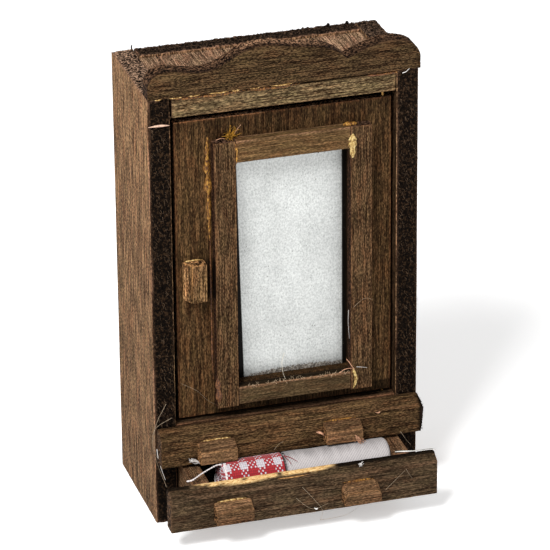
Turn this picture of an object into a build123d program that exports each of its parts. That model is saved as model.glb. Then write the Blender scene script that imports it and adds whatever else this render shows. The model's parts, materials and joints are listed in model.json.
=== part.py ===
from build123d import *
import os

os.makedirs("parts", exist_ok=True)

# Miniature wardrobe with a mirrored door and two drawers, in millimetres.
# Origin: the middle of the carcass's footprint, on the ground. +X right, +Y to the back, +Z up.
# The door is shut, the upper drawer is in and the lower drawer stands part way out.

# Driving dimensions of the carcass
WIDTH = 57.0  # over both sides
DEPTH = 28.0  # front edges of the sides to the outside of the back
HEIGHT = 95.5  # of the sides, under the cornice
STOCK = 4.3  # strip wood: back and handles
SIDE = 4.65  # thickness of the sides
THIN = 1.1  # thin wood: compartment floor, divider, drawer bottoms
FRONT = -DEPTH / 2
BACK = DEPTH / 2
INSIDE = WIDTH / 2 - SIDE  # the inner face of a side is this far from the middle
BACK_FACE = BACK - STOCK

# Top of the carcass
FRIEZE_BOTTOM = 90.9
FRIEZE_DEPTH = 4.0
FRIEZE_RECESS = 0.4
TOP_THICKNESS = 2.0
TOP_DROP = 0.5  # the top panel lies this far below the tops of the sides
CORNICE_THICKNESS = 4.0
CORNICE_PROUD = 0.3  # in front of the sides
CORNICE_OVERHANG = 0.4  # past the right side

# Levels above the ground
BASE_TOP = 4.4
DIVIDER_BOTTOM = 14.25
FLOOR_TOP = 22.3
RAIL_RECESS = 0.3  # shelves lie this far behind the front edges of the sides
NICK_LEVEL = 89.6
NICK = (0.4, 0.6)  # height and depth of the saw nick in the left side

# Door
DOOR_LEFT, DOOR_RIGHT = -22.8, 23.35
DOOR_BOTTOM, DOOR_TOP = 22.9, 89.4
DOOR_RECESS = 1.7
DOOR_BOARD = 1.7
FRAME_THICKNESS = 2.4
FRAME_OUTER = (-15.1, 18.5)
FRAME_LEVELS = (25.1, 84.7)
FRAME_STILE = 4.7
BOTTOM_RAIL = (25.5, 29.4)
TOP_RAIL = (79.9, 84.7)
MIRROR_THICKNESS = 1.0
MIRROR_LAP = 1.5  # the mirror reaches this far behind the door board all round
PIN_RADIUS = 0.4
PIN_CLEARANCE = 0.05
HOLE_RADIUS = PIN_RADIUS + PIN_CLEARANCE
PIN_X = DOOR_RIGHT - 1.75
PIN_Y = FRONT + DOOR_RECESS + DOOR_BOARD / 2
PIN_GRIP = 2.5  # length of a pin inside the door board
UPPER_PIN_REACH = 1.5  # length of the upper pin inside the frieze rail
LOWER_PIN_REACH = 0.9  # length of the lower pin inside the compartment floor
KNOB_LEFT = -21.6
KNOB_WIDTH = 4.7
KNOB_LEVELS = (50.0, 58.6)

# Knob and handles: one strip with a sloping side, cut to length
GRIP_PROUD = 2.8
GRIP_SLOPE = 1.5

# Drawers
FRONT_THICKNESS = 3.3
FRONT_GAP = 0.08  # a shut drawer front stays this far from the sides
FRONT_BEVEL = (2.3, 1.5)  # depth and height of the worn bevel along the top
BOX_LEFT, BOX_RIGHT = -23.4, 23.65
BOX_SIDE = 3.6
BOX_LENGTH = 22.4
SLIDE_GAP = 0.1
LOWER_OUT = 10.3  # how far the lower drawer stands out
UPPER_FRONT = ((-28.1, 28.5), (14.4, 22.3))
LOWER_FRONT = ((-28.6, 28.7), (4.75, 13.8))
UPPER_BOX_TOP = 20.9
LOWER_BOX_TOP = 13.75
UPPER_HANDLES = (-20.4, 6.8)
LOWER_HANDLES = (-20.0, 7.5)
UPPER_HANDLE_LEVELS = (15.4, 15.8)
LOWER_HANDLE_LEVELS = (6.4, 6.5)
HANDLE_LENGTH = 8.1

# Cloth rolls in the lower drawer
ROLL_BEHIND_FRONT = 4.6  # from the drawer front to the middle of the rolls
WHITE_ROLL = (4.15, -1.9, 19.9)  # radius, left end and right end
GINGHAM_ROLL = (3.9, -17.4, -2.1)
THREAD_RADIUS = 0.16
THREAD_X = -15.2
THREAD_TAIL_END = (-23.0, -23.2)  # where the loose end lies on the left side of the drawer
THREAD_GAP = 0.04  # between the thread and the wood


def block(x, y, z):
    """A box between a low and a high value on each axis."""
    size = [high - low for low, high in (x, y, z)]
    middle = [(low + high) / 2 for low, high in (x, y, z)]
    return Pos(*middle) * Box(*size)


def grip(length, tall=STOCK):
    """Knob and handle strip along X: glued face on Y = 0, sloping side on top, foot on Z = 0."""
    profile = Polyline(
        (0, 0, 0), (0, 0, tall), (0, -GRIP_PROUD, tall - GRIP_SLOPE), (0, -GRIP_PROUD, 0), close=True
    )
    return extrude(make_face(profile), length, dir=(1, 0, 0))


def cornice():
    """The fretted board on top: a low left shoulder, a long hump, a sharp dip and a right lobe."""
    front = FRONT - CORNICE_PROUD
    left = -WIDTH / 2
    right = WIDTH / 2 + CORNICE_OVERHANG
    hump = [(left, 98.0), (-26.4, 101.0), (-23.6, 101.3), (-18.5, 100.4), (-13.2, 101.2)]
    hump += [(-9.0, 103.5), (-5.0, 104.5), (3.0, 103.4), (9.2, 102.3), (13.2, 99.5)]
    lobe = [(13.2, 99.5), (17.6, 101.3), (23.2, 102.3), (27.0, 101.2), (right, 98.0)]
    ends = [(right, 98.0), (right, HEIGHT), (left, HEIGHT), (left, 98.0)]
    top = [Spline(*[(x, front, z) for x, z in curve]) for curve in (hump, lobe)]
    foot = Polyline(*[(x, front, z) for x, z in ends])
    return extrude(make_face([*top, foot]), CORNICE_THICKNESS, dir=(0, 1, 0))


def pin_at(low, high, radius):
    """A round bar on the door's hinge axis between two levels."""
    return Pos(PIN_X, PIN_Y, (low + high) / 2) * Cylinder(radius, high - low)


def carcass():
    """Sides, back, top, cornice, frieze rail and the three shelves."""
    inner = (-INSIDE, INSIDE)
    shelf = (FRONT + RAIL_RECESS, BACK_FACE)
    top_level = HEIGHT - TOP_DROP
    frieze_back = FRONT + FRIEZE_RECESS + FRIEZE_DEPTH
    nick_height, nick_depth = NICK
    side_left = block((-WIDTH / 2, -INSIDE), (FRONT, BACK), (0, HEIGHT))
    side_left -= block(
        (-WIDTH / 2, -INSIDE), (FRONT, FRONT + nick_depth), (NICK_LEVEL, NICK_LEVEL + nick_height)
    )
    frieze = block(inner, (FRONT + FRIEZE_RECESS, frieze_back), (FRIEZE_BOTTOM, top_level))
    frieze -= pin_at(FRIEZE_BOTTOM, FRIEZE_BOTTOM + UPPER_PIN_REACH + PIN_CLEARANCE, HOLE_RADIUS)
    floor = block(inner, shelf, (FLOOR_TOP - THIN, FLOOR_TOP))
    floor -= pin_at(FLOOR_TOP - THIN, FLOOR_TOP, HOLE_RADIUS)
    return {
        "side_left": side_left,
        "side_right": block((INSIDE, WIDTH / 2), (FRONT, BACK), (0, HEIGHT)),
        "back_panel": block(inner, (BACK_FACE, BACK), (0, HEIGHT)),
        "top_panel": block(inner, (frieze_back, BACK_FACE), (top_level - TOP_THICKNESS, top_level)),
        "cornice": cornice(),
        "frieze_rail": frieze,
        "compartment_floor": floor,
        "drawer_divider": block(inner, shelf, (DIVIDER_BOTTOM, DIVIDER_BOTTOM + THIN)),
        "base_board": block(inner, shelf, (0, BASE_TOP)),
    }


def door():
    """Door board with its window, four frame strips, mirror, knob and two hinge pins."""
    face = FRONT + DOOR_RECESS
    rear = face + DOOR_BOARD
    frame_left, frame_right = FRAME_OUTER
    window = ((frame_left + FRAME_STILE, frame_right - FRAME_STILE), (BOTTOM_RAIL[1], TOP_RAIL[0]))
    strip = (face - FRAME_THICKNESS, face)
    upper_pin = (DOOR_TOP - PIN_GRIP, FRIEZE_BOTTOM + UPPER_PIN_REACH)
    lower_pin = (FLOOR_TOP - LOWER_PIN_REACH, DOOR_BOTTOM + PIN_GRIP)
    board = block((DOOR_LEFT, DOOR_RIGHT), (face, rear), (DOOR_BOTTOM, DOOR_TOP))
    board -= block(window[0], (face, rear), window[1])
    board -= pin_at(*upper_pin, PIN_RADIUS)
    board -= pin_at(*lower_pin, PIN_RADIUS)
    lapped = [(low - MIRROR_LAP, high + MIRROR_LAP) for low, high in window]
    knob = Rot(0, -90, 0) * grip(KNOB_LEVELS[1] - KNOB_LEVELS[0], KNOB_WIDTH)
    return {
        "door_board": board,
        "frame_stile_left": block((frame_left, window[0][0]), strip, FRAME_LEVELS),
        "frame_stile_right": block((window[0][1], frame_right), strip, FRAME_LEVELS),
        "frame_rail_top": block(window[0], strip, TOP_RAIL),
        "frame_rail_bottom": block(window[0], strip, BOTTOM_RAIL),
        "mirror": block(lapped[0], (rear, rear + MIRROR_THICKNESS), lapped[1]),
        "door_knob": Pos(KNOB_LEFT + KNOB_WIDTH, face, KNOB_LEVELS[0]) * knob,
        "hinge_pin_upper": pin_at(*upper_pin, PIN_RADIUS),
        "hinge_pin_lower": pin_at(*lower_pin, PIN_RADIUS),
    }


def drawer_front(span, levels, face):
    """A drawer front between two ends and two levels, with its top edge worn to a bevel."""
    board = block(span, (face, face + FRONT_THICKNESS), levels)
    edge = board.edges().filter_by(Axis.X).sort_by(lambda e: e.center().Z - e.center().Y)[-1]
    front_face = board.faces().sort_by(Axis.Y)[0]
    depth, height = FRONT_BEVEL
    return chamfer(edge, height, depth, reference=front_face)


def drawer(name, front, out, box, handles, handle_levels):
    """One drawer that stands out by a distance: front, four box boards and two handles."""
    rear = FRONT - FRONT_GAP - out
    face = rear - FRONT_THICKNESS
    tail = rear + BOX_LENGTH
    inner = (BOX_LEFT + BOX_SIDE, BOX_RIGHT - BOX_SIDE)
    span, levels = front
    nodes = {
        f"{name}_front": drawer_front(span, levels, face),
        f"{name}_side_left": block((BOX_LEFT, inner[0]), (rear, tail), box),
        f"{name}_side_right": block((inner[1], BOX_RIGHT), (rear, tail), box),
        f"{name}_back": block(inner, (tail - BOX_SIDE, tail), box),
        f"{name}_bottom": block(inner, (rear, tail - BOX_SIDE), (box[0], box[0] + THIN)),
    }
    for side, x, level in zip(("left", "right"), handles, handle_levels):
        nodes[f"{name}_handle_{side}"] = Pos(x, face, level) * grip(HANDLE_LENGTH)
    return nodes


def roll(radius, ends, y, z):
    """A rolled cloth that lies along X."""
    left, right = ends
    return Pos((left + right) / 2, y, z) * Rot(0, 90, 0) * Cylinder(radius, right - left)


def rolls():
    """Two rolls of cloth side by side behind the lower drawer front, one tied with a thread."""
    y = FRONT - FRONT_GAP - LOWER_OUT + ROLL_BEHIND_FRONT
    bottom = BASE_TOP + SLIDE_GAP + THIN
    lift = 2 * THREAD_RADIUS + THREAD_GAP  # the tied roll lies on its thread
    white_radius, *white_ends = WHITE_ROLL
    gingham_radius, *gingham_ends = GINGHAM_ROLL
    gingham_level = bottom + lift + gingham_radius
    tail_level = LOWER_BOX_TOP + THREAD_RADIUS + THREAD_GAP
    loop = Rot(0, 90, 0) * Torus(gingham_radius + THREAD_RADIUS, THREAD_RADIUS)
    tail_start = Vector(THREAD_X, y, tail_level)
    tail = Vector(*THREAD_TAIL_END, tail_level) - tail_start
    tail_plane = Plane(origin=tail_start + tail / 2, z_dir=tail)
    return {
        "gingham_roll": roll(gingham_radius, gingham_ends, y, gingham_level),
        "white_roll": roll(white_radius, white_ends, y, bottom + white_radius),
        "tie_thread": Pos(THREAD_X, y, gingham_level) * loop
        + tail_plane * Cylinder(THREAD_RADIUS, tail.length),
    }


upper_box = (DIVIDER_BOTTOM + THIN + SLIDE_GAP, UPPER_BOX_TOP)
lower_box = (BASE_TOP + SLIDE_GAP, LOWER_BOX_TOP)
nodes = carcass() | door() | rolls()
nodes |= drawer("upper_drawer", UPPER_FRONT, 0, upper_box, UPPER_HANDLES, UPPER_HANDLE_LEVELS)
nodes |= drawer("lower_drawer", LOWER_FRONT, LOWER_OUT, lower_box, LOWER_HANDLES, LOWER_HANDLE_LEVELS)

for node, shape in nodes.items():
    export_step(shape, f"parts/{node}.step")
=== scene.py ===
"""The looks of a miniature wardrobe: stained and sawn wood, glue, fuzz, a mirror and two cloth rolls.

Everything is in metres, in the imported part's frame: +X right, +Y to the back, +Z up.
Sizes written in millimetres are multiplied by MM.
"""

import functools
import json
import math

import bpy
import numpy as np
from mathutils import Matrix, Vector


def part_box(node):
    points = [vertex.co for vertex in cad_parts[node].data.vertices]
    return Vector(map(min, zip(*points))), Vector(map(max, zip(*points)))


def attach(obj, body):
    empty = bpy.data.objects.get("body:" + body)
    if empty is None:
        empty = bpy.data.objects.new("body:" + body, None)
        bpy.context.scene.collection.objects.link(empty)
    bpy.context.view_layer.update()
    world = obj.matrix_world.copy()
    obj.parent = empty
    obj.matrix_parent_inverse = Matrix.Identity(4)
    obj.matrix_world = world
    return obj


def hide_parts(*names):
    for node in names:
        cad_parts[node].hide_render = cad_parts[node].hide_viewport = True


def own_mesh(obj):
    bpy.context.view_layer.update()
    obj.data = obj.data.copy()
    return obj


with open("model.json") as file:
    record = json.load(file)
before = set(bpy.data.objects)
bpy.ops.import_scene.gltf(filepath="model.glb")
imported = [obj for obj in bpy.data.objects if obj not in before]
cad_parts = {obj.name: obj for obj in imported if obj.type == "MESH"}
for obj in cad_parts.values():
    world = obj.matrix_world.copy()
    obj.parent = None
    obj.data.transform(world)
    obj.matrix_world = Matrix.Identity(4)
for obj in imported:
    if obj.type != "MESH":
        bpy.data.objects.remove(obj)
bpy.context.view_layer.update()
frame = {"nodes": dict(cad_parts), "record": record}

MM = 0.001
AXES = "xyz"
BODY_OF = {
    node: body
    for body, nodes in frame["record"]["behaviour"]["bodies"].items()
    for node in nodes
}
SLOT_OF = {part["node"]: part["material_slot"] for part in frame["record"]["subparts"]}

# Homes of the small loose pieces: the body that each rides on, and its material slot
CARCASS, CORNICE = ("carcass", "carcass_wood"), ("carcass", "cornice_wood")
DOOR = ("door", "door_wood")
UPPER, LOWER = ("upper_drawer", "drawer_wood"), ("lower_drawer", "drawer_wood")

WHITE = (1, 1, 1, 1)

# Cloth; lengths are in millimetres
THREAD = 0.46  # from one thread of the gingham to the next
CHECK_THREADS = 4
RED_THREADS = 4.4  # the red threads are a little thicker than the white ones
CLOTH_THICKNESS = 0.24
CLOTH_STEP = 0.3  # from one place on the mesh of a roll to the next
ROLL_PITCH = 0.45  # from turn to turn
ROLL_CORE = 0.7  # radius of the hollow in the middle
ROLL_SWELL = (1.08, 1.145)  # how many times deeper and taller the rolls are than their cylinders
TIE_X = -16.2  # where the thread goes round

# Camera: a long lens, a little to the left and above, rolled by about half a degree
CAMERA_AZIMUTH = math.radians(-16.67)
CAMERA_ELEVATION = math.radians(25.155)
CAMERA_ROLL = -0.009
CAMERA_AIM = Vector((0, -14, 47.5)) * MM
CAMERA_RIGHT, CAMERA_UP = -2.166 * MM, 5.23 * MM
CAMERA_DISTANCE = 848 * MM
CAMERA_LENS = 270.1


# Camera, light and floor


def make_camera():
    """A camera at the viewing angle of a product picture, with no shift and all in focus."""
    az, el = CAMERA_AZIMUTH, CAMERA_ELEVATION
    back = Vector((math.sin(az) * math.cos(el), -math.cos(az) * math.cos(el), math.sin(el)))
    level = Vector((math.cos(az), math.sin(az), 0))
    rise = back.cross(level)
    right = math.cos(CAMERA_ROLL) * level + math.sin(CAMERA_ROLL) * rise
    turn = Matrix((right, back.cross(right), back)).transposed().to_4x4()
    place = CAMERA_AIM + back * CAMERA_DISTANCE + level * CAMERA_RIGHT + rise * CAMERA_UP
    data = bpy.data.cameras.new("camera")
    data.sensor_width = 36
    data.lens = CAMERA_LENS
    data.clip_start = 0.05
    camera = bpy.data.objects.new("camera", data)
    camera.matrix_world = Matrix.Translation(place) @ turn
    bpy.context.scene.collection.objects.link(camera)
    bpy.context.scene.camera = camera


def area_light(name, place, aim, size, power):
    """A soft square light at a place, in metres, which points at aim."""
    data = bpy.data.lights.new(name, "AREA")
    data.size = size
    data.energy = power
    light = bpy.data.objects.new(name, data)
    light.location = place
    light.rotation_euler = (Vector(aim) - Vector(place)).to_track_quat("-Z", "Y").to_euler()
    bpy.context.scene.collection.objects.link(light)


def make_studio():
    """White surroundings, a large soft key light at the upper left and a weaker fill at the right."""
    scene = bpy.context.scene
    scene.view_settings.view_transform = "Standard"
    scene.world = bpy.data.worlds.new("studio")
    scene.world.use_nodes = True
    background = scene.world.node_tree.nodes["Background"]
    background.inputs["Color"].default_value = WHITE
    background.inputs["Strength"].default_value = 0.38
    middle = (0, 0, 50 * MM)
    area_light("key", (-0.4, -0.42, 0.7), middle, 0.26, 8.9)
    area_light("fill", (0.65, -0.5, 0.35), middle, 0.5, 1.8)
    bpy.ops.mesh.primitive_plane_add(size=6)
    floor = bpy.context.object
    floor.name = "floor"
    paper = Shader("floor_paper").finish(
        Base_Color=(0.93, 0.93, 0.93, 1), Roughness=0.9, Emission_Color=WHITE, Emission_Strength=0.42
    )
    floor.data.materials.append(paper)


# Materials


def srgb(red, green, blue):
    """A colour in display values from 0 to 255, as the linear values that a shader takes."""
    shares = [value / 255 for value in (red, green, blue)]
    return (*[s / 12.92 if s <= 0.04045 else ((s + 0.055) / 1.055) ** 2.4 for s in shares], 1)


def shade(colour, factor):
    """A lighter or darker version of a linear colour."""
    return (*[min(1, value * factor) for value in colour[:3]], 1)


class Shader:
    """A material with a Principled surface, and short ways to add nodes to it."""

    def __init__(self, name):
        self.material = bpy.data.materials.new(name)
        self.material.use_nodes = True
        self.tree = self.material.node_tree

    def put(self, node, socket, value):
        """Sets a socket to a value, or links it to another node's output."""
        if isinstance(value, bpy.types.NodeSocket):
            self.tree.links.new(value, node.inputs[socket])
        else:
            node.inputs[socket].default_value = value

    def finish(self, **sockets):
        """Sets the surface's sockets, with _ for each space in a name, and gives the material."""
        surface = self.tree.nodes["Principled BSDF"]
        for socket, value in sockets.items():
            self.put(surface, socket.replace("_", " "), value)
        return self.material

    def node(self, kind, sockets=None, **settings):
        made = self.tree.nodes.new("ShaderNode" + kind)
        for setting, value in settings.items():
            setattr(made, setting, value)
        for socket, value in (sockets or {}).items():
            self.put(made, socket, value)
        return made

    def math(self, operation, *values):
        return self.node("Math", dict(enumerate(values)), operation=operation).outputs[0]

    def attribute(self, name, output="Fac"):
        return self.node("Attribute", attribute_name=name).outputs[output]

    def noise(self, size, detail, offset, gain=0.5):
        """Noise from 0 to 1 whose lumps have a size, in millimetres along each axis."""
        where = {
            "Vector": self.node("TexCoord").outputs["Object"],
            "Location": (offset, 2 * offset, 3 * offset),
            "Scale": [1 / (step * MM) for step in size],
        }
        place = self.node("Mapping", where).outputs[0]
        sockets = {"Vector": place, "Scale": 1.0, "Detail": detail, "Roughness": gain}
        return self.node("TexNoise", sockets).outputs[0]

    def spread(self, value, low, high, start=0.0, end=1.0):
        """Stretches a value between low and high over start to end, and holds it there."""
        return self.node("MapRange", {0: value, 1: low, 2: high, 3: start, 4: end}).outputs[0]

    def ramp(self, value, *stops):
        """A colour for a value; each stop is a position and a linear colour."""
        made = self.node("ValToRGB", {0: value})
        elements = made.color_ramp.elements
        while len(elements) < len(stops):
            elements.new(0.5)
        for element, (position, colour) in zip(elements, stops):
            element.position = position
            element.color = colour
        return made.outputs[0]

    def shades(self, value, colour, *stops):
        """Darker and lighter versions of a colour; each stop is a position and a factor."""
        return self.ramp(value, *[(position, shade(colour, factor)) for position, factor in stops])

    def mix(self, factor, first, second, blend="MIX"):
        sockets = {0: factor, 6: first, 7: second}
        return self.node("Mix", sockets, data_type="RGBA", blend_type=blend).outputs[2]

    def dim(self, colour, brightness):
        """A colour times a brightness."""
        grey = self.node("CombineColor", dict.fromkeys(range(3), brightness)).outputs[0]
        return self.mix(1.0, colour, grey, "MULTIPLY")

    def ragged(self, layer, noise, depth):
        """A value that the mesh gives, made uneven by noise."""
        uneven = self.math("SUBTRACT", noise, 0.5)
        return self.math("MULTIPLY_ADD", uneven, depth, self.attribute(layer))

    def bump(self, height, depth, strength=1.0, normal=None):
        """Relief of a depth in millimetres."""
        sockets = {"Height": height, "Distance": depth * MM, "Strength": strength}
        if normal is not None:
            sockets["Normal"] = normal
        return self.node("Bump", sockets).outputs[0]


def along(grain, width, length):
    """The size of a feature that is narrow across the grain and long along it."""
    size = [width] * 3
    size[AXES.index(grain)] = length
    return size


def stained_grain(shader, tone, grain, contrast, seed, broad):
    """The colour of a stained face, then the noises of its stipple, its fibres and its bands."""
    middle = srgb(*tone)
    stipple = shader.noise(along(grain, 0.19 * broad**0.5, 0.62), 1, seed, 0.7)
    fibres = shader.noise(along(grain, 0.19 * broad, 5.5 * broad**0.5), 1, seed + 3, 0.6)
    bands = shader.noise(along(grain, 0.7 * broad**0.4, 12), 2, seed + 5)
    clouds = shader.noise(along(grain, 3.5, 8), 2, seed + 7)
    mingled = shader.math("MULTIPLY", fibres, 0.34)
    for part, share in ((stipple, 0.42), (bands, 0.15), (clouds, 0.09)):
        mingled = shader.math("MULTIPLY_ADD", part, share, mingled)
    reach = 0.1 / contrast
    level = shader.spread(mingled, 0.5 - reach, 0.5 + reach)
    deepest = (*[value * share for value, share in zip(middle, (0.2, 0.15, 0.11))], 1)
    body = shader.ramp(
        level, (0, deepest), (0.36, shade(middle, 0.6)), (0.62, shade(middle, 1.2)), (1, shade(middle, 2.9))
    )
    tint = shader.ramp(
        shader.noise(along(grain, 1.6, 6), 3, seed + 11, 0.6),
        (0.36, (1.0, 0.91, 0.87, 1)), (0.5, (0.97, 0.99, 0.99, 1)), (0.66, (0.91, 0.97, 0.91, 1))
    )
    return shader.mix(1.0, body, tint, "MULTIPLY"), stipple, fibres, bands


def sawn_face(shader, pits, cut, char):
    """The colour of a sawn face, pale or charred as the mesh says."""
    level = shader.spread(pits, 0.38, 0.62)
    pale = shader.shades(level, srgb(*cut), (0, 0.02), (0.38, 0.14), (0.52, 0.75), (1, 2.8))
    dark = shader.shades(level, srgb(*char), (0, 0.25), (0.5, 0.8), (0.76, 1.6), (1, 5.5))
    return shader.mix(shader.attribute("char"), pale, dark)


def wood(name, tone, grain, contrast=1.0, edge=(140, 98, 70), cut=(119, 95, 77), char=(17, 10, 5),
         seed=0.0, broad=1.0):
    """Stained wood: fine fibres and pores along the grain, cloudy stain, and rough sawn faces.

    The mesh says where a face is sawn, how charred that cut is, where an edge is near, where bare
    wood shows and how much paler or darker the stain and the painted light and shade make it. broad widens
    the fibres.
    """
    shader = Shader(name)
    colour, stipple, fibres, bands = stained_grain(shader, tone, grain, contrast, seed, broad)
    pits = shader.noise((0.5, 0.5, 0.5), 2, seed + 31, 0.7)
    sawn = shader.spread(shader.ragged("sawn", pits, 1.2), 0.35, 0.6)
    colour = shader.mix(sawn, colour, sawn_face(shader, pits, cut, char))
    rubbed = shader.math("MULTIPLY", shader.attribute("edge"), shader.spread(bands, 0.4, 0.55, 0.15, 0.8))
    worn = shader.dim(srgb(*edge), shader.spread(stipple, 0.34, 0.62, 0.35, 1.25))
    colour = shader.mix(rubbed, colour, worn)
    raw_wood = shader.ramp(
        stipple, (0.3, srgb(136, 94, 52)), (0.45, srgb(204, 162, 104)), (0.65, srgb(232, 200, 146))
    )
    colour = shader.mix(shader.attribute("raw"), colour, raw_wood)
    relief = shader.bump(shader.math("MULTIPLY_ADD", stipple, 0.5, fibres), 0.1, 0.9)
    return shader.finish(
        # paler also brings painted shadows and highlights into the colour.
        Base_Color=shader.dim(colour, shader.math("ADD", 1.0, shader.attribute("paler"))),
        Roughness=shader.spread(fibres, 0.2, 0.8, 0.95, 0.7),
        Specular_IOR_Level=0.04,
        Normal=shader.bump(pits, 0.3, shader.attribute("sawn"), relief),
    )


def mirror_glass():
    """A silvered, finely pitted face with dark specks and a dirty foot, and a painted back.

    The mesh says how far, in millimetres, a place lies inside the dirt or the dark rim.
    Its mostly diffuse grey silvering is a painted reflection of the white surroundings.
    """
    shader = Shader("mirror_glass")
    haze = shader.noise((0.34, 0.34, 0.46), 2, 2.0, 0.7)
    drift = shader.noise((5, 5, 9), 2, 4.0)
    # The silvering's grey, mostly diffuse, is a painted reflection of the white surroundings.
    silvering_and_reflection = shader.ramp(
        haze, (0.3, srgb(154, 156, 154)), (0.5, srgb(183, 185, 183)), (0.66, srgb(199, 201, 198))
    )
    silvering_and_reflection = shader.dim(silvering_and_reflection, shader.spread(drift, 0.3, 0.7, 0.9, 1.08))
    specks = shader.spread(shader.noise((0.3, 0.3, 0.3), 1, 9.0, 0.6), 0.29, 0.24)
    clusters = shader.spread(shader.noise((5, 5, 5), 1, 15.0), 0.42, 0.55)
    grains = shader.noise((0.35, 0.35, 0.35), 2, 12.0, 0.7)
    dirt = shader.ramp(
        shader.noise((0.3, 0.3, 0.3), 2, 21.0, 0.7),
        (0.36, srgb(42, 34, 26)), (0.5, srgb(98, 86, 72)), (0.64, srgb(184, 177, 166))
    )
    dusty = shader.spread(shader.ragged("dust", grains, 2.2), -0.15, 0.15, 0.0, 0.9)
    silvering_and_reflection = shader.mix(dusty, silvering_and_reflection, dirt)
    # The dark rim: the bare, unsilvered left edge, and at the right a painted reflection of the frame
    # strip's side.
    rim = shader.spread(shader.attribute("rim"), -0.08, 0.08)
    silvering_and_reflection = shader.mix(rim, silvering_and_reflection, srgb(12, 9, 7))
    silvering_and_reflection = shader.mix(shader.math("MULTIPLY", specks, clusters), silvering_and_reflection, srgb(70, 66, 60))
    paint = shader.ramp(haze, (0.3, srgb(94, 90, 86)), (0.7, srgb(122, 118, 112)))
    back = shader.attribute("back")
    return shader.finish(
        Base_Color=shader.mix(back, silvering_and_reflection, paint),
        Metallic=shader.spread(shader.math("MAXIMUM", rim, back), 0.0, 1.0, 0.3, 0.0),
        Specular_IOR_Level=shader.spread(rim, 0.0, 1.0, 0.5, 0.05),
        Roughness=shader.spread(haze, 0.3, 0.7, 0.3, 0.42),
        Normal=shader.bump(haze, 0.02, 0.4),
    )


def brass():
    """Plain brass wire with a dulled, faintly scratched surface."""
    shader = Shader("pin_brass")
    wear_marks = shader.noise((0.1, 0.1, 0.6), 3, 4.0)
    return shader.finish(
        Base_Color=shader.ramp(wear_marks, (0.35, srgb(84, 60, 34)), (0.65, srgb(140, 108, 62))),
        Metallic=1.0,
        Roughness=shader.spread(wear_marks, 0.3, 0.7, 0.25, 0.5),
    )


GLUES = {  # dark, middle and light display colours
    "dried_glue": ((54, 28, 8), (112, 72, 24), (176, 130, 56)),
    # Dark glue that also serves as the painted shadow line under the cornice.
    "dark_glue_and_shadow": ((44, 22, 8), (96, 58, 22), (150, 104, 50)),
    "pale_glue": ((84, 54, 22), (150, 114, 60), (216, 186, 128)),
    "russet_glue": ((46, 25, 12), (84, 50, 26), (126, 82, 46)),
    "olive_glue": ((84, 58, 24), (158, 128, 70), (208, 186, 128)),
}
FIBRES = {  # display colour, and how much it varies
    "dark_fibre": ((24, 15, 9), 0.5),
    "pale_fibre": ((92, 74, 58), 0.5),
    "rail_fibre": ((196, 170, 140), 0.3),
    "white_thread": ((222, 214, 212), 0.12),
    "grey_hair": ((140, 124, 104), 0.35),
    "pale_hair": ((206, 196, 176), 0.2),
    "stray_white": ((222, 218, 214), 0.12),
    "red_thread": ((126, 12, 26), 0.3),
    "dusky_thread": ((104, 104, 94), 0.3),
    "golden_fibre": ((150, 108, 38), 0.6),
    "dark_splinter": ((20, 13, 8), 0.4),
    "pale_splinter": ((184, 138, 110), 0.35),
    "orange_splinter": ((158, 116, 70), 0.45),
    "pale_chip": ((206, 170, 148), 0.2),
    "russet_chip": ((112, 76, 56), 0.4),
}


def glue(name):
    """Dried wood glue, cloudy and a little glossy."""
    shader = Shader(name)
    clouds = shader.noise((0.4, 0.4, 0.7), 3, 6.0, 0.7)
    tones = [srgb(*tone) for tone in GLUES[name]]
    return shader.finish(
        Base_Color=shader.ramp(clouds, *zip((0.36, 0.5, 0.64), tones)),
        Roughness=shader.spread(clouds, 0.3, 0.7, 0.4, 0.65),
        Specular_IOR_Level=0.3,
        Normal=shader.bump(clouds, 0.1, 0.6),
    )


def fibre(name):
    """Loose fibres, hairs and splinters of one colour that varies from place to place."""
    shader = Shader(name)
    tone, variation = FIBRES[name]
    spots = shader.noise((0.5, 0.5, 0.5), 2, 5.0)
    colour = shader.shades(spots, srgb(*tone), (0.35, 1 - variation), (0.65, 1 + variation))
    return shader.finish(Base_Color=colour, Roughness=0.8, Specular_IOR_Level=0.08)


@functools.cache
def glue_or_fibre(name):
    """The material of that name, made when it is first asked for."""
    return glue(name) if name in GLUES else fibre(name)


def weave_parts(shader, pitch, shift=(0.0, 0.0)):
    """Cloth coordinates counted in threads, and the height of the threads at each place."""
    flat = shader.node("SeparateXYZ", {0: shader.attribute("cloth", "Vector")})
    counts, rises = [], []
    for axis in (0, 1):
        count = shader.math("MULTIPLY_ADD", flat.outputs[axis], 1 / (pitch * MM), shift[axis])
        wave = shader.math("SINE", shader.math("MULTIPLY", count, math.pi))
        counts.append(count)
        rises.append(shader.math("ABSOLUTE", wave))
    return counts, shader.math("MULTIPLY", *rises)


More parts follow.
